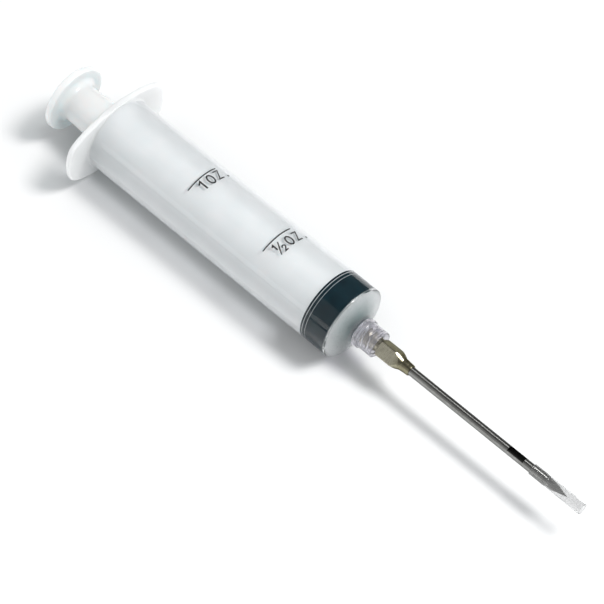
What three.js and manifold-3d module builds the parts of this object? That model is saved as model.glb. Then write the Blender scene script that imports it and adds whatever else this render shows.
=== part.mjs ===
// A one-ounce meat injector: a moulded syringe with a luer-lock marinade needle.
//
// Millimetres. The syringe lies along X with the needle towards +X, its finger flange
// level, and Z up. While the pieces are made, x = 0 is the barrel's front rim and the
// syringe's axis is y = z = 0. The last group moves the whole object so that its origin
// is the middle of its underside.

import * as THREE from 'three';
import { mergeVertices } from 'three/addons/utils/BufferGeometryUtils.js';
import Module from 'manifold-3d';

const wasm = await Module();
wasm.setup();

// ---- driving dimensions ------------------------------------------------------------

const BORE_R = 11.9;            // a standard 35 ml bore
const WALL = 1.3;
const BARREL_R = BORE_R + WALL;
const RIM_ROUND = 0.7;
const FIT_GAP = 0.3;            // clearance between pieces that touch

const END_CONE_RISE = 3.2;      // the front wall is a shallow cone
const END_CONE_R = 5.4;
const END_WALL = 1.2;
const BORE_FLOOR_X = 1.9;
const BORE_FLOOR_R = 5.0;

const FLANGE_FRONT_X = -106;
const FLANGE_THICKNESS = 2;
const FLANGE_EDGE = 0.5;
const FLANGE_HALF_HEIGHT = 13.5;
const FLANGE_ELLIPSE_Y = 25;
const FLANGE_WING_R = 21.8;
const FLANGE_CORNER_SHARPNESS = 40;
const FLANGE_STEPS = 72;
const BARREL_BACK_X = FLANGE_FRONT_X - FLANGE_THICKNESS;

const NOSE_NECK_R = 2.8;        // the collar's lip turns on this neck
const NOSE_NECK_END_X = 4.7;
const NOSE_BEAD_R = 3.5;        // the bead keeps the collar on
const NOSE_BEAD_END_X = 5.4;
const LUER_SLOPE = 0.03;        // 6 % taper on the diameter
const LUER_BASE_R = 2.0;
const LUER_TIP_X = 11.2;
const LUER_BORE_R = 1.0;

const COLLAR_BACK_X = END_CONE_RISE + FIT_GAP;
const COLLAR_FRONT_X = 11.4;
const COLLAR_BASE_R = 5.2;
const COLLAR_BASE_END_X = 5.6;
const COLLAR_R = 4.7;
const COLLAR_BORE_R = 4.1;
const COLLAR_LIP_R = 3.15;
const COLLAR_LIP_END_X = 4.35;

const THREAD_LEAD = 5;          // two starts, 2.5 mm apart
const THREAD_STARTS = 2;
const THREAD_ROUND = 0.45;
const THREAD_STEPS = 22;
const THREAD_SECTION_STEPS = 4;
const THREAD_FIRST_X = 5.9;
const THREAD_LAST_X = 10.7;
const LUG_X = 6.9;              // middle of the lugs, between two thread ridges

const HUB_BACK_X = 6;
const HUB_SOCKET_R = 2.8;
const HUB_MOUTH_R = 2.15;
const HUB_SOCKET_END_X = 13.6;
const HUB_LUG_R = 3.8;
const HUB_LUG_THICKNESS = 0.7;
const HUB_LUG_WIDTH = 1.9;
const HUB_SQUARE = 5.15;        // across the flats
const HUB_SQUARE_TURN = 48;     // degrees that a flat's normal is turned from +Y
const HUB_SQUARE_X = 11.7;
const HUB_CHAMFER = 0.6;
const HUB_CONE_START_X = 17.9;
const HUB_NECK_X = 21.3;
const HUB_NECK_R = 2.15;
const HUB_FRONT_X = 24.8;
const HUB_FRONT_CHAMFER = 0.3;

const NEEDLE_R = 1.52;
const NEEDLE_BORE_R = 1.1;
const NEEDLE_BACK_X = 16.5;
const NEEDLE_POINT_X = 82;      // where the tube ends and the solid point begins
const NEEDLE_TIP_X = 90;
const POINT_TAPER = 7.2;
const PYRAMID_TAPERS = 3;       // the cutting pyramid reaches this many tapers back
const POINT_SIDES = 4;
const POINT_TURN = 45;          // degrees that one ground face is turned from +Y
const POINT_STEM_R = 0.9;
const POINT_STEM_LENGTH = 3.5;
const SLOT_BACK_X = 65.8;
const SLOT_LENGTH = 6.5;
const SLOT_WIDTH = 2.3;
const SLOT_FLOOR = 0.2;         // height of its ends' lower edge above the axis

const CAP_BACK_X = 75.6;
const CAP_FRONT_X = 96;
const CAP_BORE_R = 1.67;
const CAP_R = 1.9;

const PISTON_R = BORE_R - FIT_GAP;
const PISTON_WAIST_R = 11;
const PISTON_BACK_X = -11.8;
const PISTON_REAR_RING_X = -9.6;
const PISTON_FRONT_RING_X = -3.2;
const PISTON_SHOULDER_X = -1.7;
const PISTON_NOSE_X = 1.4;
const PISTON_NOSE_R = 4.9;
const PISTON_EDGE = 0.4;
const PISTON_LIP_EDGE = 0.3;
const SOCKET_MOUTH_R = 5.2;     // the rod's snap head is pushed through this mouth
const SOCKET_R = 6.4;
const SOCKET_STEP_X = -8.7;
const SOCKET_FLOOR_X = -4.7;
const HEAD_CHAMFER = 1;

const ROD_R = 7.4;
const ROD_NECK_R = 6.7;
const ROD_NECK_START_X = -110;
const ROD_NECK_END_X = -122.7;
const ROD_FOOT_R = 9;
const ROD_FOOT_THICKNESS = 1.5;
const ROD_BORE_R = 5.2;
const ROD_BORE_FLOOR_X = -16.2;
const THUMB_R = 12;
const THUMB_FRONT_X = -125.1;
const THUMB_THICKNESS = 2.5;
const THUMB_EDGE = 1.1;
const THUMB_FILLET = ROD_NECK_END_X - THUMB_FRONT_X;
const THUMB_BACK_X = THUMB_FRONT_X - THUMB_THICKNESS;

const WIDE_SEGMENTS = 56;
const SMALL_SEGMENTS = 32;
const CUT_MARGIN = 1;           // how far a cutter stands past what it cuts
const MERGE_DISTANCE = 1e-5;

// ---- materials ---------------------------------------------------------------------

const material = (color, roughness, metalness = 0) =>
  new THREE.MeshStandardMaterial({ color, roughness, metalness });

const milkyPlastic = material(0xe9edef, 0.4);
const stemPlastic = material(0xe3e8ec, 0.4);
const clearPlastic = material(0xe6e4ee, 0.15);
const capPlastic = material(0xf0f0f0, 0.15);
const blackRubber = material(0x1d2a33, 0.45);
const nickel = material(0xa8a594, 0.3, 1);
const steel = material(0x9b9d9c, 0.25, 1);
const groundSteel = material(0xb4b6b5, 0.2, 1);

// ---- geometry helpers --------------------------------------------------------------

// A body turned about X. The profile is a list of [x, radius] points: it runs forwards
// along the outside, and it either starts and ends on the axis or closes on itself.
function turned(profile, segments = WIDE_SEGMENTS) {
  const points = profile.map(([x, r]) => new THREE.Vector2(r, x));
  if (profile[0][1] > 0) {
    points.push(points[0].clone());
  }
  const geometry = new THREE.LatheGeometry(points, segments);
  geometry.rotateZ(-Math.PI / 2);
  return geometry;
}

// Profile points on a quarter circle about (x, r), from one angle to the other.
function roundedEdge(x, r, radius, fromDegrees, toDegrees, steps = 4) {
  const points = [];
  for (let i = 0; i <= steps; i += 1) {
    const angle = THREE.MathUtils.degToRad(fromDegrees + ((toDegrees - fromDegrees) * i) / steps);
    points.push([x + radius * Math.cos(angle), r + radius * Math.sin(angle)]);
  }
  return points;
}

// Turns a shape's plane to the YZ plane, so that it is extruded along X from x = back.
function extrudedAlongX(shape, back, length, bevel = 0) {
  const geometry = new THREE.ExtrudeGeometry(shape, {
    depth: length - 2 * bevel,
    bevelEnabled: bevel > 0,
    bevelThickness: bevel,
    bevelSize: bevel,
    bevelOffset: -bevel,
    bevelSegments: 2,
    curveSegments: WIDE_SEGMENTS,
  });
  const yAxis = new THREE.Vector3(0, 1, 0);
  const zAxis = new THREE.Vector3(0, 0, 1);
  const xAxis = new THREE.Vector3(1, 0, 0);
  geometry.applyMatrix4(new THREE.Matrix4().makeBasis(yAxis, zAxis, xAxis));
  geometry.translate(back + bevel, 0, 0);
  return geometry;
}

function solid(geometry) {
  const bare = geometry.clone();
  bare.deleteAttribute('normal');
  bare.deleteAttribute('uv');
  const merged = mergeVertices(bare, MERGE_DISTANCE);
  const index = merged.index.array;
  const triangles = [];
  for (let i = 0; i < index.length; i += 3) {
    const [a, b, c] = [index[i], index[i + 1], index[i + 2]];
    if (a !== b && b !== c && c !== a) {
      triangles.push(a, b, c);
    }
  }
  return new wasm.Manifold(
    new wasm.Mesh({
      numProp: 3,
      vertProperties: new Float32Array(merged.attributes.position.array),
      triVerts: new Uint32Array(triangles),
    }),
  );
}

function geometryOf(manifold) {
  const mesh = manifold.getMesh();
  const geometry = new THREE.BufferGeometry();
  geometry.setAttribute('position', new THREE.BufferAttribute(mesh.vertProperties, 3));
  geometry.setIndex(new THREE.BufferAttribute(mesh.triVerts, 1));
  geometry.computeVertexNormals();
  return geometry;
}

function piece(name, geometry, itsMaterial) {
  const mesh = new THREE.Mesh(geometry, itsMaterial);
  mesh.name = name;
  return mesh;
}

// ---- barrel ------------------------------------------------------------------------

// The flange outline is an oval whose long ends are cut off by a circle. Its radius at
// each angle is the soft minimum of the two, which rounds the four corners.
function flangeShape() {
  const shape = new THREE.Shape();
  for (let i = 0; i < FLANGE_STEPS; i += 1) {
    const angle = (2 * Math.PI * i) / FLANGE_STEPS;
    const y = Math.cos(angle) / FLANGE_ELLIPSE_Y;
    const z = Math.sin(angle) / FLANGE_HALF_HEIGHT;
    const ellipse = 1 / Math.hypot(y, z);
    const n = FLANGE_CORNER_SHARPNESS;
    const radius = (ellipse ** -n + FLANGE_WING_R ** -n) ** (-1 / n);
    if (i === 0) {
      shape.moveTo(radius, 0);
    } else {
      shape.lineTo(radius * Math.cos(angle), radius * Math.sin(angle));
    }
  }
  shape.closePath();
  return shape;
}

// Radius of the male luer cone at x.
const luerRadius = (x) => LUER_BASE_R - LUER_SLOPE * (x - NOSE_BEAD_END_X);

function barrel() {
  const outside = solid(turned([
    [BARREL_BACK_X, 0],
    [BARREL_BACK_X, BARREL_R],
    ...roundedEdge(-RIM_ROUND, BARREL_R - RIM_ROUND, RIM_ROUND, 90, 0),
    [END_CONE_RISE, END_CONE_R],
    [END_CONE_RISE, NOSE_NECK_R],
    [NOSE_NECK_END_X, NOSE_NECK_R],
    [NOSE_NECK_END_X, NOSE_BEAD_R],
    [NOSE_BEAD_END_X, NOSE_BEAD_R],
    [NOSE_BEAD_END_X, LUER_BASE_R],
    [LUER_TIP_X, luerRadius(LUER_TIP_X)],
    [LUER_TIP_X, 0],
  ]));
  const flange = solid(extrudedAlongX(flangeShape(), BARREL_BACK_X, FLANGE_THICKNESS, FLANGE_EDGE));
  const hollow = solid(turned([
    [BARREL_BACK_X - CUT_MARGIN, 0],
    [BARREL_BACK_X - CUT_MARGIN, BORE_R],
    [-END_WALL, BORE_R],
    [BORE_FLOOR_X, BORE_FLOOR_R],
    [BORE_FLOOR_X, LUER_BORE_R],
    [LUER_TIP_X + CUT_MARGIN, LUER_BORE_R],
    [LUER_TIP_X + CUT_MARGIN, 0],
  ]));
  return piece('barrel', geometryOf(outside.add(flange).subtract(hollow)), milkyPlastic);
}

// ---- luer lock ---------------------------------------------------------------------

// Angle about X of the first thread ridge at x. It is zero at the lugs.
const threadAngle = (x) => (2 * Math.PI * (x - LUG_X)) / THREAD_LEAD;

class ThreadLine extends THREE.Curve {
  constructor(start) {
    super();
    this.start = start;
  }

  getPoint(t, target = new THREE.Vector3()) {
    const x = THREAD_FIRST_X + (THREAD_LAST_X - THREAD_FIRST_X) * t;
    const angle = threadAngle(x) + (2 * Math.PI * this.start) / THREAD_STARTS;
    return target.set(x, COLLAR_BORE_R * Math.cos(angle), COLLAR_BORE_R * Math.sin(angle));
  }
}

function luerLockCollar() {
  const tube = turned([
    [COLLAR_BACK_X, COLLAR_LIP_R],
    [COLLAR_BACK_X, COLLAR_BASE_R - FIT_GAP],
    [COLLAR_BACK_X + FIT_GAP, COLLAR_BASE_R],
    [COLLAR_BASE_END_X, COLLAR_BASE_R],
    [COLLAR_BASE_END_X + FIT_GAP, COLLAR_R],
    [COLLAR_FRONT_X - FIT_GAP, COLLAR_R],
    [COLLAR_FRONT_X, COLLAR_R - FIT_GAP],
    [COLLAR_FRONT_X, COLLAR_BORE_R],
    [COLLAR_LIP_END_X, COLLAR_BORE_R],
    [COLLAR_LIP_END_X, COLLAR_LIP_R],
  ], SMALL_SEGMENTS);
  const ridgeSection = new THREE.Shape();
  ridgeSection.absarc(0, 0, THREAD_ROUND, 0, 2 * Math.PI);
  let collar = solid(tube);
  for (let start = 0; start < THREAD_STARTS; start += 1) {
    const ridge = new THREE.ExtrudeGeometry(ridgeSection, {
      steps: THREAD_STEPS,
      curveSegments: THREAD_SECTION_STEPS,
      extrudePath: new ThreadLine(start),
    });
    collar = collar.add(solid(ridge));
  }
  return piece('luer_lock_collar', geometryOf(collar), clearPlastic);
}

// ---- needle ------------------------------------------------------------------------

function needleHub() {
  const socket = solid(turned([
    [HUB_BACK_X, 0],
    [HUB_BACK_X, HUB_SOCKET_R],
    [HUB_SQUARE_X + CUT_MARGIN, HUB_SOCKET_R],
    [HUB_SQUARE_X + CUT_MARGIN, 0],
  ], SMALL_SEGMENTS));
  const lugs = solid(new THREE.BoxGeometry(HUB_LUG_THICKNESS, HUB_LUG_WIDTH, 2 * HUB_LUG_R)
    .translate(LUG_X, 0, 0));
  const lugLimit = solid(turned([
    [HUB_BACK_X, 0],
    [HUB_BACK_X, HUB_LUG_R],
    [HUB_SQUARE_X, HUB_LUG_R],
    [HUB_SQUARE_X, 0],
  ], SMALL_SEGMENTS));

  const cornerR = HUB_SQUARE / Math.SQRT2;
  const block = solid(new THREE.BoxGeometry(HUB_NECK_X - HUB_SQUARE_X, HUB_SQUARE, HUB_SQUARE)
    .translate((HUB_NECK_X + HUB_SQUARE_X) / 2, 0, 0)
    .rotateX(THREE.MathUtils.degToRad(HUB_SQUARE_TURN)));
  const turnedEnds = solid(turned([
    [HUB_SQUARE_X, 0],
    [HUB_SQUARE_X, HUB_SOCKET_R],
    [HUB_SQUARE_X + HUB_CHAMFER, cornerR],
    [HUB_CONE_START_X, cornerR],
    [HUB_NECK_X, HUB_NECK_R],
    [HUB_NECK_X, 0],
  ], SMALL_SEGMENTS));
  const neck = solid(turned([
    [HUB_NECK_X - CUT_MARGIN, 0],
    [HUB_NECK_X - CUT_MARGIN, HUB_NECK_R],
    [HUB_FRONT_X - HUB_FRONT_CHAMFER, HUB_NECK_R],
    [HUB_FRONT_X, HUB_NECK_R - HUB_FRONT_CHAMFER],
    [HUB_FRONT_X, 0],
  ], SMALL_SEGMENTS));

  const taperedEndR = HUB_MOUTH_R - LUER_SLOPE * (HUB_SOCKET_END_X - HUB_BACK_X);
  const passage = solid(turned([
    [HUB_BACK_X - CUT_MARGIN, 0],
    [HUB_BACK_X - CUT_MARGIN, HUB_MOUTH_R + LUER_SLOPE],
    [HUB_SOCKET_END_X, taperedEndR],
    [HUB_SOCKET_END_X, LUER_BORE_R],
    [NEEDLE_BACK_X - FIT_GAP, LUER_BORE_R],
    [NEEDLE_BACK_X - FIT_GAP, NEEDLE_R + FIT_GAP / 2],
    [HUB_FRONT_X + CUT_MARGIN, NEEDLE_R + FIT_GAP / 2],
    [HUB_FRONT_X + CUT_MARGIN, 0],
  ], SMALL_SEGMENTS));

  const body = socket
    .add(lugs.intersect(lugLimit))
    .add(block.intersect(turnedEnds))
    .add(neck)
    .subtract(passage);
  return piece('needle_hub', geometryOf(body), nickel);
}

function needleTube() {
  const tube = solid(turned([
    [NEEDLE_BACK_X, NEEDLE_BORE_R],
    [NEEDLE_BACK_X, NEEDLE_R],
    [NEEDLE_POINT_X, NEEDLE_R],
    [NEEDLE_POINT_X, NEEDLE_BORE_R],
  ], SMALL_SEGMENTS));
  const slot = solid(new THREE.BoxGeometry(SLOT_LENGTH, SLOT_WIDTH, 2 * NEEDLE_R)
    .translate(SLOT_BACK_X + SLOT_LENGTH / 2, 0, NEEDLE_R + SLOT_FLOOR));
  return piece('needle_tube', geometryOf(tube.subtract(slot)), steel);
}

function needlePoint() {
  const shoulderX = NEEDLE_POINT_X + FIT_GAP;
  const rod = solid(turned([
    [NEEDLE_POINT_X - POINT_STEM_LENGTH, 0],
    [NEEDLE_POINT_X - POINT_STEM_LENGTH, POINT_STEM_R],
    [shoulderX, POINT_STEM_R],
    [shoulderX, NEEDLE_R],
    [NEEDLE_TIP_X, NEEDLE_R],
    [NEEDLE_TIP_X, 0],
  ], SMALL_SEGMENTS));
  const height = PYRAMID_TAPERS * POINT_TAPER;
  const cornerR = (NEEDLE_R * height) / POINT_TAPER / Math.cos(Math.PI / POINT_SIDES);
  const pyramid = solid(new THREE.ConeGeometry(cornerR, height, POINT_SIDES)
    .rotateZ(-Math.PI / 2)
    .translate(NEEDLE_TIP_X - height / 2, 0, 0)
    .rotateX(THREE.MathUtils.degToRad(POINT_TURN - 180 / POINT_SIDES)));
  return piece('needle_point', geometryOf(rod.intersect(pyramid)), groundSteel);
}

function tipCap() {
  const sleeve = turned([
    [CAP_BACK_X, CAP_BORE_R],
    [CAP_BACK_X, CAP_R],
    [CAP_FRONT_X, CAP_R],
    [CAP_FRONT_X, CAP_BORE_R],
  ], SMALL_SEGMENTS);
  return piece('tip_cap', sleeve, capPlastic);
}

// ---- plunger -----------------------------------------------------------------------

function piston() {
  const body = turned([
    [SOCKET_FLOOR_X, 0],
    [SOCKET_FLOOR_X, SOCKET_R],
    [SOCKET_STEP_X, SOCKET_R],
    [SOCKET_STEP_X, SOCKET_MOUTH_R],
    [PISTON_BACK_X, SOCKET_MOUTH_R],
    [PISTON_BACK_X, PISTON_R - PISTON_EDGE],
    [PISTON_BACK_X + PISTON_EDGE, PISTON_R],
    [PISTON_REAR_RING_X, PISTON_R],
    [PISTON_REAR_RING_X + PISTON_EDGE, PISTON_WAIST_R],
    [PISTON_FRONT_RING_X, PISTON_WAIST_R],
    [PISTON_FRONT_RING_X + PISTON_LIP_EDGE, PISTON_R],
    [PISTON_SHOULDER_X, PISTON_R],
    [PISTON_NOSE_X, PISTON_NOSE_R],
    [PISTON_NOSE_X, 0],
  ]);
  return piece('piston', body, blackRubber);
}

function plungerRod() {
  const footFrontX = PISTON_BACK_X - FIT_GAP;
  const headBackX = SOCKET_STEP_X + FIT_GAP;
  const headFrontX = SOCKET_FLOOR_X - FIT_GAP;
  const headR = SOCKET_R - FIT_GAP;
  const neckR = SOCKET_MOUTH_R - FIT_GAP;
  const rod = turned([
    [ROD_BORE_FLOOR_X, 0],
    [ROD_BORE_FLOOR_X, ROD_BORE_R],
    [THUMB_BACK_X, ROD_BORE_R],
    ...roundedEdge(THUMB_BACK_X + THUMB_EDGE, THUMB_R - THUMB_EDGE, THUMB_EDGE, 180, 90),
    ...roundedEdge(THUMB_FRONT_X - THUMB_EDGE, THUMB_R - THUMB_EDGE, THUMB_EDGE, 90, 0),
    ...roundedEdge(ROD_NECK_END_X, ROD_NECK_R + THUMB_FILLET, THUMB_FILLET, 180, 270),
    [ROD_NECK_START_X, ROD_R],
    [footFrontX - ROD_FOOT_THICKNESS, ROD_R],
    [footFrontX - ROD_FOOT_THICKNESS, ROD_FOOT_R],
    [footFrontX, ROD_FOOT_R],
    [footFrontX, neckR],
    [headBackX, neckR],
    [headBackX, headR],
    [headFrontX - HEAD_CHAMFER, headR],
    [headFrontX, headR - HEAD_CHAMFER],
    [headFrontX, 0],
  ]);
  return piece('plunger_rod', rod, stemPlastic);
}

// ---- the object --------------------------------------------------------------------

const plunger = new THREE.Group();
plunger.add(piston(), plungerRod());

const needle = new THREE.Group();
needle.add(needleHub(), needleTube(), needlePoint(), tipCap());

const injector = new THREE.Group();
injector.add(barrel(), luerLockCollar(), plunger, needle);
injector.position.set(-(THUMB_BACK_X + CAP_FRONT_X) / 2, 0, FLANGE_HALF_HEIGHT);

const model = new THREE.Group();
model.add(injector);
export default model;
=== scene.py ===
"""A one-ounce meat injector: fine meshes, procedural materials, a pale floor and soft light.

Every mesh is made in millimetres in the syringe's own frame: x = 0 at the barrel's front rim,
the syringe's axis at y = z = 0, and angles round the axis counted from +Y towards +Z. SYRINGE
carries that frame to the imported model's, in metres.
"""

import math

import bmesh
import bpy
from mathutils import Matrix, Vector

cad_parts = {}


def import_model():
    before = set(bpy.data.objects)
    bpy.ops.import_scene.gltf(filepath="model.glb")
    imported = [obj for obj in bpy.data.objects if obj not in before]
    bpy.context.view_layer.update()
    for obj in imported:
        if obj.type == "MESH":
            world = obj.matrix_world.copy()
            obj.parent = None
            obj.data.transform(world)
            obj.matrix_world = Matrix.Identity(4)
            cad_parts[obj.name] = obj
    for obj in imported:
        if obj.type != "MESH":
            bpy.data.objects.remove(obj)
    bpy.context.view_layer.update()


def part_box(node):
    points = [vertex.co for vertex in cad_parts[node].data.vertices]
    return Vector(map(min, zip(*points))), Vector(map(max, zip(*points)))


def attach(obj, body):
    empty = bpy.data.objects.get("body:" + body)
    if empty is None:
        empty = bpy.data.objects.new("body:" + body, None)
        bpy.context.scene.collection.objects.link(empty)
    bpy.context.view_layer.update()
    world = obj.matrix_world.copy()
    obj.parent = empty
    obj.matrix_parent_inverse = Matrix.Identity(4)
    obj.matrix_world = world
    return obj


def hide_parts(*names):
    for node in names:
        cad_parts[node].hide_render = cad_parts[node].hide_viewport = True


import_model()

MM = 0.001
BOX_MARGIN = 0.001          # millimetres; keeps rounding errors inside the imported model's box

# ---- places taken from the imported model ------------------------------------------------

LUER_TIP_X = 11.2
BARREL_LOW, BARREL_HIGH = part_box("barrel")
RIM = Vector((BARREL_HIGH.x - LUER_TIP_X * MM, 0, (BARREL_LOW.z + BARREL_HIGH.z) / 2))
SYRINGE = Matrix.Translation(RIM) @ Matrix.Scale(MM, 4)


def span(node):
    """Back x, front x and half width of a CAD node, in millimetres in the syringe's frame."""
    low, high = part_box(node)
    return (low.x - RIM.x) / MM, (high.x - RIM.x) / MM, (high.y - low.y) / 2 / MM


BACK_X, _, FLANGE_WING_R = span("barrel")
FLANGE_HALF_HEIGHT = (BARREL_HIGH.z - BARREL_LOW.z) / 2 / MM - BOX_MARGIN
COLLAR_BACK_X, COLLAR_FRONT_X, COLLAR_BASE_R = span("luer_lock_collar")
PISTON_BACK_X, PISTON_NOSE_X, _ = span("piston")
THUMB_BACK_X, ROD_HEAD_X, THUMB_R = span("plunger_rod")
HUB_BACK_X, HUB_FRONT_X, _ = span("needle_hub")
NEEDLE_BACK_X, NEEDLE_END_X, NEEDLE_R = span("needle_tube")
STEM_BACK_X, NEEDLE_TIP_X, _ = span("needle_point")
CAP_BACK_X, CAP_FRONT_X, CAP_R = span("tip_cap")

# ---- sizes of the details, in millimetres ----------------------------------------------

BORE_R = 11.9
BORE_END_X = -1.2
BORE_FLOOR_X = 1.9
BORE_FLOOR_R = 5.0
CLEAR_BORE_X = -1.6         # in front of it the bore is as clear as the barrel's outside
BARREL_R = 13.2
FLANGE_THICKNESS = 2
FLANGE_FRONT_X = BACK_X + FLANGE_THICKNESS
FLANGE_ELLIPSE_Y = 25
FLANGE_CORNER_SHARPNESS = 40
RIM_CORNER_X = -0.32
END_CONE_RISE = 3.2
END_CONE_R = 5.4
NOSE_NECK_R = 2.8
NOSE_NECK_END_X = 4.7
NOSE_BEAD_R = 3.5
NOSE_BEAD_END_X = 5.4
LUER_BASE_R = 2.0
LUER_SLOPE = 0.03
LUER_BORE_R = 1.0
THREAD_LEAD = 5
LUG_X = 6.9
HUB_SOCKET_FLOOR_X = 13.6
HUB_SQUARE_X = 11.7
HUB_CONE_X = 17.9
HUB_NECK_X = 21.3
HUB_HALF_SQUARE = 2.575
HUB_SQUARE_TURN = math.radians(48)
NEEDLE_BORE_R = 1.1
POINT_TAPER = 7.2
POINT_TURN = math.radians(45)
SLOT_BACK_X = 65.8
SLOT_LENGTH = 6.5
SLOT_WIDTH = 2.3
SLOT_FLOOR = 0.2

WIDE_STEPS = 240
ROD_STEPS = 192
SMALL_STEPS = 128
NEEDLE_STEPS = 96
POINT_STEPS = 160
HUB_STEPS = 256
ARC_STEPS = 6
SHARP_ANGLE = math.radians(32)
SHARP_METAL_ANGLE = math.radians(20)


# ---- mesh helpers ----------------------------------------------------------------------

def rounded(corners, closed=True, steps=ARC_STEPS):
    """Points of an outline given as (x, r, radius) corners, each rounded by an arc that touches
    both of its sides. An open outline keeps its two end corners sharp."""
    points = []
    for i, (x, r, radius) in enumerate(corners):
        here = Vector((x, r))
        is_end = not closed and i in (0, len(corners) - 1)
        if radius == 0 or is_end:
            points.append((x, r))
            continue
        before = Vector(corners[i - 1][:2]) - here
        after = Vector(corners[(i + 1) % len(corners)][:2]) - here
        half = before.angle(after) / 2
        reach = min(radius / math.tan(half), 0.49 * before.length, 0.49 * after.length)
        fitted = reach * math.tan(half)
        centre = here + (before.normalized() + after.normalized()).normalized() * (
            fitted / math.sin(half)
        )
        start = here + before.normalized() * reach - centre
        end = here + after.normalized() * reach - centre
        turn = start.angle_signed(end)
        for step in range(steps + 1):
            angle = -turn * step / steps
            cos, sin = math.cos(angle), math.sin(angle)
            points.append((
                centre.x + start.x * cos - start.y * sin,
                centre.y + start.x * sin + start.y * cos,
            ))
    return points


def weight_normals(piece):
    """Lets the large faces set the shading of the small ones that round their edges."""
    weighted = piece.modifiers.new("weighted_normals", "WEIGHTED_NORMAL")
    weighted.keep_sharp = True


def finished(name, mesh_data, sharp=SHARP_ANGLE):
    """Turns a bmesh in millimetres into a smooth-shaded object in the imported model's frame."""
    bmesh.ops.recalc_face_normals(mesh_data, faces=mesh_data.faces)
    mesh = bpy.data.meshes.new(name)
    mesh_data.to_mesh(mesh)
    mesh_data.free()
    mesh.transform(SYRINGE)
    mesh.shade_smooth()
    mesh.set_sharp_from_angle(angle=sharp)
    piece = bpy.data.objects.new(name, mesh)
    bpy.context.scene.collection.objects.link(piece)
    weight_normals(piece)
    return piece


def turned_bmesh(outline, steps, closed=True):
    """A closed body whose outline goes round the axis. outline(angle) gives the (x, r) points
    at an angle. An open outline starts and ends on the axis, in one vertex at each end."""
    body = bmesh.new()
    first = outline(0.0)
    tips = [] if closed else [body.verts.new((x, 0, 0)) for x, _ in (first[0], first[-1])]
    columns = []
    for i in range(steps):
        angle = math.tau * i / steps
        points = outline(angle) if closed else outline(angle)[1:-1]
        column = [
            body.verts.new((x, r * math.cos(angle), r * math.sin(angle))) for x, r in points
        ]
        columns.append(column if closed else [tips[0], *column, tips[1]])
    for i, column in enumerate(columns):
        beside = columns[(i + 1) % steps]
        last = len(column) if closed else len(column) - 1
        for k in range(last):
            m = (k + 1) % len(column)
            corners = [column[k], column[m], beside[m], beside[k]]
            body.faces.new(dict.fromkeys(corners))
    return body


def turned(name, corners, steps=SMALL_STEPS, closed=True):
    """A lathe body from (x, r, radius) corners."""
    points = rounded(corners, closed)
    return finished(name, turned_bmesh(lambda angle: points, steps, closed))


# ---- material helpers ------------------------------------------------------------------

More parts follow.
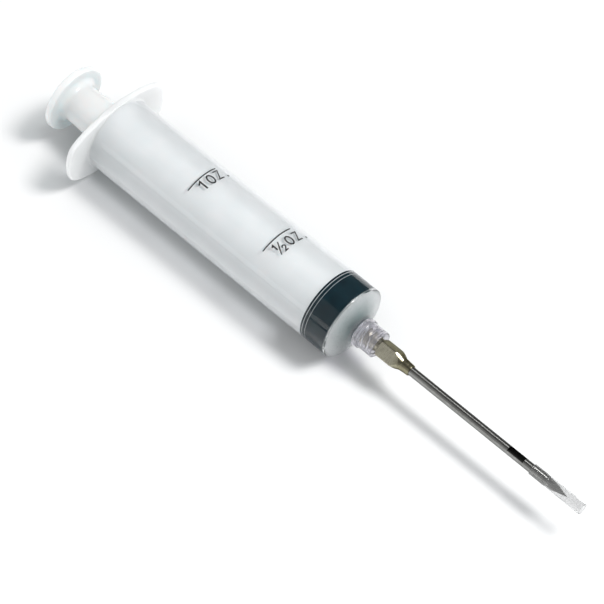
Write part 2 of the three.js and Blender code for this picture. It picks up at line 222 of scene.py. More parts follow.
class Shader:
    """A node material with one Principled shader and a few ready-made procedural inputs."""

    def __init__(self, name, **values):
        self.material = bpy.data.materials.new(name)
        self.material.use_nodes = True
        self.nodes = self.material.node_tree.nodes
        self.links = self.material.node_tree.links
        self.shader = self.nodes["Principled BSDF"]
        self.place = self.nodes.new("ShaderNodeTexCoord")
        for key, value in values.items():
            self.shader.inputs[key.replace("_", " ")].default_value = value

    def link(self, source, target):
        self.links.new(source, target)

    def noise(self, scale, detail=3.0, stretch=(1, 1, 1), roughness=0.5):
        """Noise over the object, in features per millimetre; stretch scales it along each axis."""
        mapping = self.nodes.new("ShaderNodeMapping")
        mapping.inputs["Scale"].default_value = [s / MM for s in stretch]
        self.link(self.place.outputs["Object"], mapping.inputs["Vector"])
        noise = self.nodes.new("ShaderNodeTexNoise")
        noise.inputs["Scale"].default_value = scale
        noise.inputs["Detail"].default_value = detail
        noise.inputs["Roughness"].default_value = roughness
        self.link(mapping.outputs["Vector"], noise.inputs["Vector"])
        return noise.outputs["Fac"]

    def along_axis(self):
        """Place along the syringe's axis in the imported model's frame, in metres."""
        parts = self.nodes.new("ShaderNodeSeparateXYZ")
        self.link(self.place.outputs["Object"], parts.inputs["Vector"])
        return parts.outputs["X"]

    def from_axis(self):
        """Distance from the syringe's axis, in metres."""
        centred = self.nodes.new("ShaderNodeVectorMath")
        centred.operation = "SUBTRACT"
        centred.inputs[1].default_value = (0, RIM.y, RIM.z)
        self.link(self.place.outputs["Object"], centred.inputs[0])
        across = self.nodes.new("ShaderNodeVectorMath")
        across.operation = "MULTIPLY"
        across.inputs[1].default_value = (0, 1, 1)
        self.link(centred.outputs["Vector"], across.inputs[0])
        length = self.nodes.new("ShaderNodeVectorMath")
        length.operation = "LENGTH"
        self.link(across.outputs["Vector"], length.inputs[0])
        return length.outputs["Value"]

    def ramp(self, value, low, high, start=0.3, end=0.7):
        """value from start to end as a number or colour from low to high."""
        if isinstance(low, (int, float)):
            node = self.nodes.new("ShaderNodeMapRange")
            node.inputs["From Min"].default_value = start
            node.inputs["From Max"].default_value = end
            node.inputs["To Min"].default_value = low
            node.inputs["To Max"].default_value = high
            self.link(value, node.inputs["Value"])
            return node.outputs["Result"]
        node = self.nodes.new("ShaderNodeValToRGB")
        node.color_ramp.elements[0].position = start
        node.color_ramp.elements[1].position = end
        node.color_ramp.elements[0].color = (*low, 1)
        node.color_ramp.elements[1].color = (*high, 1)
        self.link(value, node.inputs["Fac"])
        return node.outputs["Color"]

    def mixed(self, factor, a, b):
        """Two colour sockets mixed by a factor socket."""
        node = self.nodes.new("ShaderNodeMix")
        node.data_type = "RGBA"
        self.link(factor, node.inputs["Factor"])
        self.link(a, node.inputs["A"])
        self.link(b, node.inputs["B"])
        return node.outputs["Result"]

    def bump(self, *layers):
        """Bumps the surface by (height socket, millimetres) layers, one on another."""
        before = None
        for height, depth in layers:
            node = self.nodes.new("ShaderNodeBump")
            node.inputs["Distance"].default_value = depth * MM
            self.link(height, node.inputs["Height"])
            if before:
                self.link(before, node.inputs["Normal"])
            before = node.outputs["Normal"]
        self.link(before, self.shader.inputs["Normal"])

    def set(self, **sockets):
        for key, socket in sockets.items():
            self.link(socket, self.shader.inputs[key.replace("_", " ")])

    def lets_lamps_through(self, tint, edge_tint):
        """Lamps' light passes the surface, as it does through thin clear plastic: with one tint
        where it falls square on, and another where it grazes."""
        clear = self.nodes.new("ShaderNodeBsdfTransparent")
        facing = self.nodes.new("ShaderNodeLayerWeight")
        facing.inputs["Blend"].default_value = 0.5
        self.link(
            self.ramp(facing.outputs["Facing"], tint, edge_tint, 0.3, 0.9), clear.inputs["Color"]
        )
        path = self.nodes.new("ShaderNodeLightPath")
        shown = self.shader.outputs["BSDF"]
        for ray in ("Is Diffuse Ray", "Is Shadow Ray"):
            mix = self.nodes.new("ShaderNodeMixShader")
            self.link(path.outputs[ray], mix.inputs["Fac"])
            self.link(shown, mix.inputs[1])
            self.link(clear.outputs["BSDF"], mix.inputs[2])
            shown = mix.outputs["Shader"]
        self.link(shown, self.nodes["Material Output"].inputs["Surface"])


MILKY_TINTS = (0.93, 0.95, 0.955), (0.97, 0.98, 0.985)
MILKY_LAMP_TINTS = (0.9, 0.905, 0.91), (0.5, 0.51, 0.52)


def milky_plastic(name, transmission, roughness, grain_depth):
    """Natural polypropylene: clear and polished outside, milky and dull in the bore."""
    look = Shader(name, IOR=1.49, Transmission_Weight=transmission)
    cloud = look.noise(0.12, detail=2.0)
    ripple = look.noise(0.22, detail=1.0, stretch=(0.35, 1, 1))
    grain = look.noise(6.0, detail=4.0)
    look.set(
        Base_Color=look.ramp(cloud, *MILKY_TINTS),
        Roughness=look.ramp(grain, *roughness),
    )
    look.bump((ripple, 0.012), (grain, grain_depth))
    look.lets_lamps_through(*MILKY_LAMP_TINTS)
    return look.material


def milky_end():
    """The barrel's closed end: clear in the middle, milkier in the thick rim."""
    look = Shader("milky_plastic_end", IOR=1.49)
    cloud = look.noise(0.12, detail=2.0)
    grain = look.noise(6.0, detail=4.0)
    look.set(
        Base_Color=look.ramp(cloud, *MILKY_TINTS),
        Roughness=look.ramp(grain, 0.25, 0.32),
        Transmission_Weight=look.ramp(look.from_axis(), 0.98, 0.74, 6 * MM, 12.5 * MM),
    )
    look.bump((cloud, 0.012), (grain, 0.0003))
    look.lets_lamps_through(*MILKY_LAMP_TINTS)
    return look.material


def sinking_plastic(name, tints, radius):
    """White plastic that light sinks into, each colour to its own depth."""
    look = Shader(name, IOR=1.52, Subsurface_Weight=1.0, Subsurface_Scale=0.004)
    look.shader.inputs["Subsurface Radius"].default_value = radius
    cloud = look.noise(0.1, detail=2.0)
    grain = look.noise(5.0, detail=4.0)
    ripple = look.noise(0.3, detail=1.0)
    look.set(
        Base_Color=look.ramp(cloud, *tints),
        Roughness=look.ramp(grain, 0.16, 0.26),
    )
    look.bump((ripple, 0.03), (grain, 0.002))
    look.lets_lamps_through((0.52, 0.54, 0.54), (0.45, 0.47, 0.48))
    return look.material


def piston_rubber():
    """Blue-black rubber with fine scratches round it, which are painted lighter as a painted
    highlight for the glint they catch, and paler on its nose.
    """
    look = Shader("piston_rubber", IOR=1.5, Specular_IOR_Level=0.1)
    cloud = look.noise(0.25, detail=3.0)
    scratches = look.noise(0.9, detail=5.0, stretch=(6, 0.35, 0.35), roughness=0.7)
    grain = look.noise(4.0, detail=3.0)
    # the scratches are real; their lighter colour is a painted highlight standing in for the glint
    # they catch
    scratch_glint_mask = look.ramp(scratches, (0, 0, 0), (1, 1, 1), 0.66, 0.72)
    dark = look.ramp(cloud, (0.001, 0.012, 0.019), (0.002, 0.021, 0.03))
    light = look.ramp(cloud, (0.05, 0.08, 0.09), (0.08, 0.11, 0.12))
    on_nose = look.ramp(look.along_axis(), 0.0, 1.0, RIM.x - 1.4 * MM, RIM.x - 0.6 * MM)
    nose = look.ramp(cloud, (0.003, 0.06, 0.06), (0.008, 0.09, 0.085))
    look.set(
        Base_Color=look.mixed(on_nose, look.mixed(scratch_glint_mask, dark, light), nose),
        Roughness=look.ramp(grain, 0.38, 0.55),
    )
    look.bump((scratches, 0.02), (grain, 0.004))
    return look.material


def clear_plastic(name, transmission, tint, shade, roughness):
    """Clear moulded plastic with faint flow marks."""
    look = Shader(name, IOR=1.55, Transmission_Weight=transmission)
    flow = look.noise(0.5, detail=2.0, stretch=(0.6, 1, 1))
    grain = look.noise(5.0, detail=3.0)
    look.set(
        Base_Color=look.ramp(flow, tint, shade),
        Roughness=look.ramp(grain, *roughness),
    )
    look.bump((flow, 0.02), (grain, 0.001))
    look.lets_lamps_through(tint, (0.6, 0.6, 0.62))
    return look.material


def nickel_plate():
    """Nickel over brass: the brass shows towards the turned neck."""
    look = Shader("nickel_plate", Metallic=1.0)
    look.shader.inputs["Specular Tint"].default_value = (0.1, 0.1, 0.09, 1)
    towards_neck = look.ramp(
        look.along_axis(), 0.0, 1.0,
        RIM.x + HUB_CONE_X * MM, RIM.x + HUB_NECK_X * MM,
    )
    stain = look.noise(0.6, detail=4.0)
    turning = look.noise(1.6, detail=4.0, stretch=(4, 0.3, 0.3))
    nickel = look.ramp(stain, (0.4, 0.38, 0.3), (0.5, 0.48, 0.38))
    brass = look.ramp(stain, (0.24, 0.22, 0.15), (0.32, 0.3, 0.2))
    look.set(
        Base_Color=look.mixed(towards_neck, nickel, brass),
        Roughness=look.ramp(turning, 0.2, 0.34),
    )
    look.bump((turning, 0.012), (stain, 0.01))
    return look.material


def drawn_steel(name, dark, light, roughness, stretch, polished_round=0.0):
    """Steel with fine lines along its working direction. Polishing marks round the axis spread
    its highlights along it."""
    look = Shader(name, Metallic=1.0, Anisotropic=polished_round, Anisotropic_Rotation=0.25)
    if polished_round:
        round_axis = look.nodes.new("ShaderNodeTangent")
        round_axis.direction_type = "RADIAL"
        round_axis.axis = "X"
        look.set(Tangent=round_axis.outputs["Tangent"])
    look.shader.inputs["Specular Tint"].default_value = (0.3, 0.3, 0.3, 1)
    lines = look.noise(3.0, detail=5.0, stretch=stretch, roughness=0.65)
    stain = look.noise(0.35, detail=3.0)
    look.set(
        Base_Color=look.ramp(stain, dark, light),
        Roughness=look.ramp(lines, *roughness),
    )
    look.bump((lines, 0.004))
    return look.material


def painted_shade_bore():
    """The needle's bore: drawn steel painted near-black as a painted shade for the dark inside of
    the tube, and dull.
    """
    look = Shader("needle_bore", Metallic=0.4)
    shade_mottle = look.noise(1.2, detail=4.0, stretch=(0.3, 1, 1))
    look.set(
        Base_Color=look.ramp(shade_mottle, (0.012, 0.012, 0.011), (0.04, 0.04, 0.036)),
        Roughness=look.ramp(shade_mottle, 0.45, 0.65),
    )
    look.bump((shade_mottle, 0.01))
    return look.material


def print_ink():
    """Dark grey screen ink, slightly uneven."""
    look = Shader("print_ink")
    cover = look.noise(1.8, detail=4.0)
    look.set(
        Base_Color=look.ramp(cover, (0.01, 0.011, 0.012), (0.035, 0.036, 0.038)),
        Roughness=look.ramp(cover, 0.45, 0.65),
    )
    look.bump((cover, 0.004))
    return look.material


# ---- barrel ----------------------------------------------------------------------------

def flange_radius(angle):
    """The flange's outline: an oval cut off by a circle at its long ends."""
    ellipse = 1 / math.hypot(
        math.cos(angle) / FLANGE_ELLIPSE_Y, math.sin(angle) / FLANGE_HALF_HEIGHT
    )
    n = FLANGE_CORNER_SHARPNESS
    return (ellipse**-n + FLANGE_WING_R**-n) ** (-1 / n)


def barrel_outline(angle):
    edge_r = flange_radius(angle)
    plate = edge_r - BARREL_R
    edge = min(0.7, 0.45 * plate)
    fillet = min(0.8, 0.45 * plate)
    return rounded([
        (BACK_X, BORE_R, 0.3),
        (BACK_X, edge_r, edge),
        (FLANGE_FRONT_X, edge_r, edge),
        (FLANGE_FRONT_X, BARREL_R, fillet),
        (RIM_CORNER_X, BARREL_R, 0.75),
        (END_CONE_RISE, END_CONE_R, 0.4),
        (END_CONE_RISE, NOSE_NECK_R, 0.15),
        (NOSE_NECK_END_X, NOSE_NECK_R, 0.1),
        (NOSE_NECK_END_X, NOSE_BEAD_R, 0.15),
        (NOSE_BEAD_END_X, NOSE_BEAD_R, 0.15),
        (NOSE_BEAD_END_X, LUER_BASE_R, 0.15),
        (LUER_TIP_X, LUER_BASE_R - LUER_SLOPE * (LUER_TIP_X - NOSE_BEAD_END_X), 0.2),
        (LUER_TIP_X, LUER_BORE_R, 0.2),
        (BORE_FLOOR_X, LUER_BORE_R, 0.3),
        (BORE_FLOOR_X, BORE_FLOOR_R, 0.4),
        (BORE_END_X, BORE_R, 0.5),
        (CLEAR_BORE_X, BORE_R, 0),
    ])


def barrel():
    body = turned_bmesh(barrel_outline, WIDE_STEPS)
    return finished("barrel_shell", body)


# ---- printed scale ---------------------------------------------------------------------

INK_LIFT = 0.006
INK_THICKNESS = 0.03
INK_STEP = 0.35     # longest straight piece of a stroke, so that it follows the barrel


def ribbon(body, points, width, closed=False):
    """Lays one stroke on the barrel as a thin solid. Points are (s, x): s is the distance round
    the barrel from its top towards +Y."""
    path = []
    count = len(points) if closed else len(points) - 1
    for i in range(count):
        a, b = Vector(points[i]), Vector(points[(i + 1) % len(points)])
        parts = max(1, math.ceil((b - a).length / INK_STEP))
        path += [a.lerp(b, k / parts) for k in range(parts)]
    if not closed:
        path.append(Vector(points[-1]))
    rows = []
    for i, here in enumerate(path):
        before = here - path[i - 1] if closed or i > 0 else path[1] - here
        after = path[(i + 1) % len(path)] - here if closed or i < len(path) - 1 else before
        side = (before.normalized() + after.normalized()).orthogonal().normalized()
        across = after.normalized().orthogonal()
        reach = width / 2 / max(0.35, abs(side.dot(across)))
        row = []
        for sign, lift in ((1, INK_LIFT), (-1, INK_LIFT), (-1, INK_THICKNESS), (1, INK_THICKNESS)):
            s, x = here + side * reach * sign
            angle = math.pi / 2 - s / BARREL_R
            r = BARREL_R + lift
            row.append(body.verts.new((x, r * math.cos(angle), r * math.sin(angle))))
        rows.append(row)
    pairs = list(zip(rows, rows[1:]))
    if closed:
        pairs.append((rows[-1], rows[0]))
    for a, b in pairs:
        for k in range(4):
            m = (k + 1) % 4
            body.faces.new((a[k], a[m], b[m], b[k]))
    if not closed:
        body.faces.new(rows[0])
        body.faces.new(rows[-1])


def oval(s, x, half_width, half_height, steps=28):
    return [
        (s + half_width * math.cos(math.tau * i / steps),
         x + half_height * math.sin(math.tau * i / steps))
        for i in range(steps)
    ]


def letters_oz(body, s, base_x, height):
    """O, Z and a full stop. The letters' tops point to the flange, which is -x."""
    top_x = base_x - height
    ribbon(body, oval(s, base_x - height / 2, 1.05, height / 2), 0.55, closed=True)
    left, right = s + 2.5, s + 4.65
    ribbon(body, [(left, top_x), (right, top_x), (left, base_x), (right, base_x)], 0.45)
    stop = s + 6.7
    ribbon(body, [(stop - 0.35, base_x), (stop + 0.35, base_x)], 0.7)


def mark_line(body, x):
    """The graduation itself, an arc across the top of the barrel."""
    ribbon(body, [(-6.8, x), (6.15, x)], 0.42)


def digit_one(body, s, base_x, height, width):
    """A one whose flag is turned down to the left."""
    top_x = base_x - height
    ribbon(
        body,
        [(s - 0.31 * height, top_x + 0.24 * height), (s, top_x), (s, base_x)],
        width,
    )


def digit_two(body, s, base_x, height, width):
    """A two: an arc over the top, a slant down and a foot."""
    r = height * 0.28
    top_x = base_x - height
    arc = [
        (s - r * math.cos(math.radians(a)), top_x + r - r * math.sin(math.radians(a)))
        for a in range(0, 211, 30)
    ]
    ribbon(body, [*arc, (s - r, base_x), (s + r, base_x)], width)


LETTER_HEIGHT = 3.5


def ounce_mark():
    line_x, base_x = -67.6, -63.1
    body = bmesh.new()
    mark_line(body, line_x)
    digit_one(body, -2.1, base_x, 3.6, 0.58)
    letters_oz(body, 1.15, base_x, LETTER_HEIGHT)
    return finished("mark_one_ounce", body)


def half_ounce_mark():
    line_x, upper_base_x, lower_base_x, letters_base_x = -34.35, -30.9, -28.75, -29.0
    body = bmesh.new()
    mark_line(body, line_x)
    digit_one(body, -3.45, upper_base_x, 2.25, 0.5)
    ribbon(body, [(-1.45, upper_base_x - 2), (-3.85, lower_base_x)], 0.42)
    digit_two(body, -1.3, lower_base_x, 2.1, 0.45)
    letters_oz(body, 1.8, letters_base_x, LETTER_HEIGHT)
    return finished("mark_half_ounce", body)


# ---- luer lock collar ------------------------------------------------------------------

def collar_outline(angle):
    """The collar's section, with the two thread ridges where they pass at this angle."""
    bore_r, lip_r, outer_r = 4.1, 3.15, 4.7
    base_end_x, lip_x = 5.75, COLLAR_BACK_X + 0.85
    first_x, last_x, fade_length = 5.7, 10.9, 0.5
    ridge_height, ridge_half, steps = 0.42, 0.62, 84
    points = rounded([
        (COLLAR_FRONT_X, bore_r, 0.0),
        (COLLAR_FRONT_X, outer_r, 0.3),
        (base_end_x, outer_r, 0.15),
        (base_end_x, COLLAR_BASE_R, 0.3),
        (COLLAR_BACK_X, COLLAR_BASE_R, 0.35),
        (COLLAR_BACK_X, lip_r, 0.15),
        (lip_x, lip_r, 0.15),
        (lip_x, bore_r, 0.0),
    ], closed=False)
    turns = angle / math.tau
    for i in range(1, steps):
        x = lip_x + (COLLAR_FRONT_X - lip_x) * i / steps
        phase = (x - LUG_X) / THREAD_LEAD - turns
        away = abs(phase * 2 - round(phase * 2)) * THREAD_LEAD / 2
        fade = min(1, max(0, (x - first_x) / fade_length), max(0, (last_x - x) / fade_length))
        rise = max(0, math.cos(min(1, away / ridge_half) * math.pi / 2)) ** 1.5
        points.append((x, bore_r - ridge_height * rise * fade))
    return points


def collar():
    body = turned_bmesh(collar_outline, SMALL_STEPS)
    return finished("lock_collar", body)


# ---- needle ----------------------------------------------------------------------------

def rounded_square_radius(angle, half, round_r):
    """Distance from the middle of a rounded square to its edge."""
    turn = (angle + math.pi / 4) % (math.pi / 2) - math.pi / 4
    reach = half / math.cos(turn)
    inner = half - round_r
    if abs(math.sin(turn)) * reach <= inner:
        return reach
    along = inner * (math.cos(turn) + abs(math.sin(turn)))
    return along + math.sqrt(max(0, along * along - 2 * inner * inner + round_r * round_r))


def hub_outline(angle):
    """A square bar whose ends are turned: a chamfer at the back, a long cone at the front. The
    turned surfaces meet the flats in curves, so their x depends on the angle."""
    flat_r = rounded_square_radius(angle - HUB_SQUARE_TURN, HUB_HALF_SQUARE, 0.3)
    corner_r = HUB_HALF_SQUARE * math.sqrt(2)
    socket_r, waist_r, mouth_r, neck_r = 2.8, 2.35, 2.15, 2.15
    chamfer, support = 0.75, 0.12       # support rows keep the flats' shading flat
    needle_seat_x, needle_fit_r = NEEDLE_BACK_X - 0.3, NEEDLE_R + 0.01
    cone_slope = (corner_r - neck_r) / (HUB_NECK_X - HUB_CONE_X)
    chamfer_slope = (corner_r - waist_r) / chamfer
    front_x = HUB_CONE_X + (corner_r - flat_r) / cone_slope
    back_x = HUB_SQUARE_X + (flat_r - waist_r) / chamfer_slope
    return (
        rounded([
            (HUB_BACK_X, mouth_r, 0),
            (HUB_BACK_X, socket_r, 0.15),
            (HUB_SQUARE_X - 1.5, socket_r, 0.1),
            (HUB_SQUARE_X - 1.1, waist_r, 0.1),
            (HUB_SQUARE_X, waist_r, 0),
        ], closed=False)
        + [
            (back_x, flat_r),
            (back_x + support, flat_r),
            ((back_x + front_x) / 2, flat_r),
            (front_x - support, flat_r),
            (front_x, flat_r),
        ]
        + rounded([
            (HUB_NECK_X - 0.35, neck_r + 0.35 * cone_slope, 0),
            (HUB_NECK_X, neck_r, 0.8),
            (HUB_FRONT_X, neck_r - 0.25, 0.2),
            (HUB_FRONT_X, needle_fit_r, 0.03),
            (needle_seat_x, needle_fit_r, 0.02),
            (needle_seat_x, LUER_BORE_R, 0.02),
            (HUB_SOCKET_FLOOR_X, LUER_BORE_R, 0.05),
            (HUB_SOCKET_FLOOR_X, mouth_r - LUER_SLOPE * (HUB_SOCKET_FLOOR_X - HUB_BACK_X), 0.05),
            (HUB_BACK_X, mouth_r, 0),
        ], closed=False)[:-1]
    )


def hub():
    body = turned_bmesh(hub_outline, HUB_STEPS)
    return finished("hub_body", body, sharp=SHARP_METAL_ANGLE)


def lug_bmesh(sign):
    """One of the hub's two lock lugs: a short plate with a rounded outer edge."""
    half_thick, half_width, inner_r, outer_r = 0.35, 0.95, 2.7, 3.8
    body = bmesh.new()
    spread = math.asin(half_width / outer_r)
    steps = 8
    rim = [
        (outer_r * math.sin(-spread + 2 * spread * i / steps),
         outer_r * math.cos(-spread + 2 * spread * i / steps))
        for i in range(steps + 1)
    ]
    loop = [*rim, (half_width, inner_r), (-half_width, inner_r)]
    rings = [
        [body.verts.new((LUG_X + x, sign * y, sign * z)) for y, z in loop]
        for x in (-half_thick, half_thick)
    ]
    for i in range(len(loop)):
        m = (i + 1) % len(loop)
        body.faces.new((rings[0][i], rings[0][m], rings[1][m], rings[1][i]))
    body.faces.new(rings[0])
    body.faces.new(rings[1])
    return body


def cut(name, body, cutter_body):
    """A mesh body minus another, as a finished object."""
    whole = finished(name, body)
    cutter = finished(name + "_cutter", cutter_body)
    boolean = whole.modifiers.new("cut", "BOOLEAN")
    boolean.object = cutter
    boolean.solver = "EXACT"
    whole.modifiers.move(1, 0)
    bpy.context.view_layer.update()
    result = bpy.data.meshes.new_from_object(
        whole.evaluated_get(bpy.context.evaluated_depsgraph_get())
    )
    bpy.data.objects.remove(cutter)
    whole.modifiers.clear()
    whole.data = result
    result.shade_smooth()
    result.set_sharp_from_angle(angle=SHARP_ANGLE)
    weight_normals(whole)
    return whole


def box_bmesh(low, high):
    body = bmesh.new()
    bmesh.ops.create_cube(body, size=1)
    for vertex in body.verts:
        vertex.co = [a + (b - a) * (c + 0.5) for a, b, c in zip(low, high, vertex.co)]
    return body


def needle_tube():
    points = rounded([
        (NEEDLE_BACK_X, NEEDLE_BORE_R, 0.05),
        (NEEDLE_BACK_X, NEEDLE_R, 0.1),
        (NEEDLE_END_X, NEEDLE_R, 0.04),
        (NEEDLE_END_X, NEEDLE_BORE_R, 0.04),
    ])
    tube = turned_bmesh(lambda angle: points, NEEDLE_STEPS)
    slot = box_bmesh(
        (SLOT_BACK_X, -SLOT_WIDTH / 2, SLOT_FLOOR),
        (SLOT_BACK_X + SLOT_LENGTH, SLOT_WIDTH / 2, 2 * NEEDLE_R),
    )
    return cut("needle_cannula", tube, slot)


def point_outline(angle):
    """A ground four-sided point on a round shoulder. The flats run back to the round in curves."""
    turn = (angle - POINT_TURN + math.pi / 4) % (math.pi / 2) - math.pi / 4
    flat_end_x = NEEDLE_TIP_X - POINT_TAPER * math.cos(turn)
    shoulder_x = NEEDLE_END_X + 0.02
    stem_r = 1.0
    tapers = 10
    flats = [
        (flat_end_x + (NEEDLE_TIP_X - flat_end_x) * i / tapers, NEEDLE_R * (1 - i / tapers))
        for i in range(tapers)
    ]
    return [
        (STEM_BACK_X, 0),
        (STEM_BACK_X, stem_r),
        (shoulder_x, stem_r),
        (shoulder_x, NEEDLE_R - 0.04),
        (shoulder_x + 0.04, NEEDLE_R),
        *flats,
        (NEEDLE_TIP_X, 0),
    ]


def needle_point():
    body = turned_bmesh(point_outline, POINT_STEPS, closed=False)
    return finished("ground_point", body, sharp=SHARP_METAL_ANGLE)


def tip_cap():
    """A clear sleeve that grips the needle behind its ground faces."""
    grip_r = NEEDLE_R - 0.01        # pressed on the needle, so no air lies between them
    sleeve_r = CAP_R - 0.23
    grip_end_x = NEEDLE_END_X - 0.5
    return turned("tip_sleeve", [
        (CAP_BACK_X, grip_r, 0.06),
        (CAP_BACK_X, CAP_R, 0.08),
        (CAP_FRONT_X, CAP_R, 0.08),
        (CAP_FRONT_X, sleeve_r, 0.06),
        (grip_end_x + 0.3, sleeve_r, 0.1),
        (grip_end_x, grip_r, 0.1),
    ])


# ---- plunger ---------------------------------------------------------------------------

def groove(x, width, seal_r):
    """Corners of a narrow groove round the piston, where air parts it from the bore."""
    depth = 0.2
    return [
        (x - width, seal_r, 0.03),
        (x - width / 2, seal_r - depth, 0.03),
        (x + width / 2, seal_r - depth, 0.03),
        (x + width, seal_r, 0.03),
    ]


def piston():
    seal_r = BORE_R + 0.015     # pressed against the bore, so no air lies between them
    back_x, shoulder_x, nose_r = PISTON_BACK_X + 0.3, -1.5, 4.9
    socket_r, mouth_r, floor_x, step_x = 6.4, 5.2, -4.7, -8.7
    points = rounded([
        (floor_x, 0, 0),
        (floor_x, socket_r, 0.3),
        (step_x, socket_r, 0.3),
        (step_x, mouth_r, 0.3),
        (back_x, mouth_r, 0.3),
        (back_x, seal_r, 0.3),
        *groove(-10.5, 0.09, seal_r),
        *groove(-9.3, 0.05, seal_r),
        (shoulder_x, seal_r, 0.25),
        (PISTON_NOSE_X, nose_r, 0.8),
        (PISTON_NOSE_X, 0, 0),
    ], closed=False)
    return finished("piston_seal", turned_bmesh(lambda angle: points, WIDE_STEPS, closed=False))


def plunger_rod():
    rod_r, neck_r, bore_r = 7.4, 6.7, 5.2
    neck_start_x, thumb_front_x = -110, THUMB_BACK_X + 2.5
    foot_front_x, foot_r, foot_thickness = PISTON_BACK_X - 0.3, 9, 1.5
    core_floor_x, head_back_x, head_r, shank_r = -16.2, -8.4, 6.1, 4.9
    return turned("plunger_stem", [
        (core_floor_x, 0, 0),
        (core_floor_x, bore_r, 0.6),
        (THUMB_BACK_X, bore_r, 0.4),
        (THUMB_BACK_X, THUMB_R, 0.6),
        (thumb_front_x, THUMB_R, 0.6),
        (thumb_front_x, neck_r, 2.4),
        (neck_start_x, rod_r, 2.0),
        (foot_front_x - foot_thickness, rod_r, 0.5),
        (foot_front_x - foot_thickness, foot_r, 0.3),
        (foot_front_x, foot_r, 0.3),
        (foot_front_x, shank_r, 0.3),
        (head_back_x, shank_r, 0.2),
        (head_back_x, head_r, 0.2),
        (ROD_HEAD_X, head_r, 0.8),
        (ROD_HEAD_X, 0, 0),
    ], steps=ROD_STEPS, closed=False)


# ---- putting the pieces on their bodies ------------------------------------------------

def dress(piece, material, body, node=None):
    """Gives a piece its material, its body and the CAD node it stands for."""
    piece.data.materials.clear()
    piece.data.materials.append(material)
    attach(piece, body)
    if node:
        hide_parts(node)


def face_radius(face):
    """Distance of a face's middle from the syringe's axis, in millimetres."""
    return math.hypot(face.center.y, face.center.z - RIM.z) / MM


polished = milky_plastic("milky_plastic", 1.0, (0.06, 0.12), 0.0005)
dull = milky_plastic("milky_plastic_bore", 0.34, (0.38, 0.46), 0.001)
thick = sinking_plastic(
    "milky_plastic_flange", ((0.88, 0.905, 0.9), (0.915, 0.935, 0.93)), (1, 1, 1)
)
end = milky_end()
white = sinking_plastic(
    "plunger_plastic", ((0.85, 0.91, 0.94), (0.89, 0.94, 0.96)), (0.8, 0.95, 1.0)
)
ink = print_ink()
nickel = nickel_plate()
collar_plastic = clear_plastic(
    "clear_plastic", 0.9, (0.77, 0.76, 0.8), (0.84, 0.83, 0.87), (0.12, 0.2)
)
cap_plastic = clear_plastic(
    "cap_plastic", 0.95, (0.84, 0.84, 0.84), (0.88, 0.88, 0.88), (0.08, 0.14)
)
tube_steel = drawn_steel(
    "needle_steel", (0.26, 0.26, 0.25), (0.33, 0.33, 0.32), (0.24, 0.3), (0.03, 1, 1), 0.95
)
point_steel = drawn_steel(
    "ground_steel", (0.28, 0.28, 0.27), (0.38, 0.38, 0.37), (0.12, 0.2), (1, 0.2, 0.2)
)
bore_painted_shade = painted_shade_bore()

shell = barrel()
dress(shell, polished, "barrel", "barrel")
for material in (dull, thick, end):
    shell.data.materials.append(material)
DULL_FACE, THICK_FACE, END_FACE = 1, 2, 3
for face in shell.data.polygons:
    x = (face.center.x - RIM.x) / MM
    if x < FLANGE_FRONT_X + 0.8:
        face.material_index = THICK_FACE
    elif x > -0.3 or face_radius(face) < BORE_R - 0.1:
        face.material_index = END_FACE
    elif x < CLEAR_BORE_X and face_radius(face) < BORE_R + 0.2:
        face.material_index = DULL_FACE
dress(ounce_mark(), ink, "barrel")
dress(half_ounce_mark(), ink, "barrel")
dress(collar(), collar_plastic, "collar", "luer_lock_collar")
dress(hub(), nickel, "needle", "needle_hub")
for side, sign in (("upper", 1), ("lower", -1)):
    dress(finished(f"hub_lug_{side}", lug_bmesh(sign)), nickel, "needle")
cannula = needle_tube()
dress(cannula, tube_steel, "needle", "needle_tube")
cannula.data.materials.append(bore_painted_shade)
# the bore's faces get the painted shade
for face in cannula.data.polygons:
    if face_radius(face) < (NEEDLE_R + NEEDLE_BORE_R) / 2 + 0.1:
        face.material_index = 1
dress(needle_point(), point_steel, "needle", "needle_point")
dress(tip_cap(), cap_plastic, "cap", "tip_cap")
dress(piston(), piston_rubber(), "piston", "piston")
dress(plunger_rod(), white, "plunger", "plunger_rod")


# ---- floor, light and camera -----------------------------------------------------------

def direction(azimuth, elevation):
    """The unit vector from the object towards a place round it; azimuth 0 is -Y."""
    a, e = math.radians(azimuth), math.radians(elevation)
    return Vector((math.sin(a) * math.cos(e), -math.cos(a) * math.cos(e), math.sin(e)))


FLOOR_R = 0.2       # metres; past it the barrel mirrors a dark line, as in the photograph


def floor():
    look = Shader("floor_paper", Roughness=0.9)
    mottle = look.noise(0.01, detail=3.0)
    look.set(Base_Color=look.ramp(mottle, (0.9, 0.9, 0.9), (0.92, 0.92, 0.92)))
    sheet = bmesh.new()
    bmesh.ops.create_circle(sheet, cap_ends=True, segments=96, radius=FLOOR_R)
    mesh = bpy.data.meshes.new("floor")
    sheet.to_mesh(mesh)
    sheet.free()
    mesh.materials.append(look.material)
    plane = bpy.data.objects.new("floor", mesh)
    bpy.context.scene.collection.objects.link(plane)


def soft_light(name, towards, distance, width, height, radiance):
    """A rectangular lamp of one radiance that faces the object. Its sizes are in metres."""
    lamp = bpy.data.lights.new(name, "AREA")
    lamp.shape = "RECTANGLE"
    lamp.size = width
    lamp.size_y = height
    lamp.energy = radiance * math.pi * width * height
    holder = bpy.data.objects.new(name, lamp)
    holder.location = towards * distance
    holder.rotation_mode = "QUATERNION"
    holder.rotation_quaternion = towards.to_track_quat("Z", "Y")
    bpy.context.scene.collection.objects.link(holder)


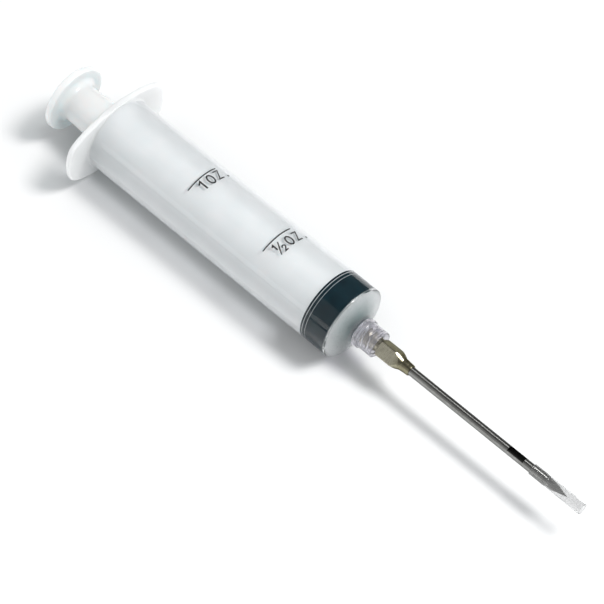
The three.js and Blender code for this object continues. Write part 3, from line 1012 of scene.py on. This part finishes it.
def world():
    """A pale surround to the camera, a dim one to what it lights and a dark one to mirrors."""
    scene_world = bpy.data.worlds.new("studio")
    scene_world.use_nodes = True
    nodes, links = scene_world.node_tree.nodes, scene_world.node_tree.links
    dim = nodes["Background"]
    dim.inputs["Color"].default_value = (0.95, 0.98, 1.0, 1)
    dim.inputs["Strength"].default_value = 0.42
    pale = nodes.new("ShaderNodeBackground")
    pale.inputs["Color"].default_value = (1, 1, 1, 1)
    dark = nodes.new("ShaderNodeBackground")
    dark.inputs["Color"].default_value = (0.13, 0.13, 0.13, 1)
    path = nodes.new("ShaderNodeLightPath")
    shown = dark
    for ray, seen in (("Is Diffuse Ray", dim), ("Is Camera Ray", pale)):
        mix = nodes.new("ShaderNodeMixShader")
        links.new(path.outputs[ray], mix.inputs["Fac"])
        links.new(shown.outputs[0], mix.inputs[1])
        links.new(seen.outputs[0], mix.inputs[2])
        shown = mix
    links.new(shown.outputs[0], nodes["World Output"].inputs["Surface"])
    bpy.context.scene.world = scene_world


CAMERA_AZIMUTH, CAMERA_ELEVATION, CAMERA_ROLL = 38.74, 54.87, 5.8      # degrees
CAMERA_DISTANCE, CAMERA_LEFT, CAMERA_DOWN = 1103.1, 4.71, 2.37         # millimetres
LENS, SENSOR_WIDTH = 206.9, 36                                         # millimetres


def camera():
    """A long lens at the photograph's angle, aimed a little beside the object's middle."""
    back = direction(CAMERA_AZIMUTH, CAMERA_ELEVATION)
    level_right = direction(CAMERA_AZIMUTH + 90, 0)
    level_up = back.cross(level_right)
    roll = math.radians(CAMERA_ROLL)
    right = level_right * math.cos(roll) + level_up * math.sin(roll)
    up = back.cross(right)
    aim = Vector((-0.2, 0, RIM.z / MM))
    place = aim - right * CAMERA_LEFT - up * CAMERA_DOWN + back * CAMERA_DISTANCE
    data = bpy.data.cameras.new("camera")
    data.sensor_width = SENSOR_WIDTH
    data.lens = LENS
    data.clip_start = 0.05
    data.clip_end = 20
    holder = bpy.data.objects.new("camera", data)
    turn = Matrix((right, up, back)).transposed().to_4x4()
    holder.matrix_world = Matrix.Translation(place * MM) @ turn
    bpy.context.scene.collection.objects.link(holder)
    bpy.context.scene.camera = holder


CARD_AZIMUTH = -34.8

floor()
soft_light("key", Vector((0.42, 0.40, 1.0)).normalized(), 2.0, 0.55, 0.55, 33)
soft_light("upper_card", direction(CARD_AZIMUTH, 36), 1.0, 3.2, 0.8, 0.36)
soft_light("lower_card", direction(CARD_AZIMUTH, 6.5), 1.0, 3.2, 0.24, 1.4)
soft_light("side", direction(113, 23), 1.5, 1.0, 0.8, 1.3)
world()
camera()

view = bpy.context.scene.view_settings
view.view_transform = "Standard"
view.look = "None"
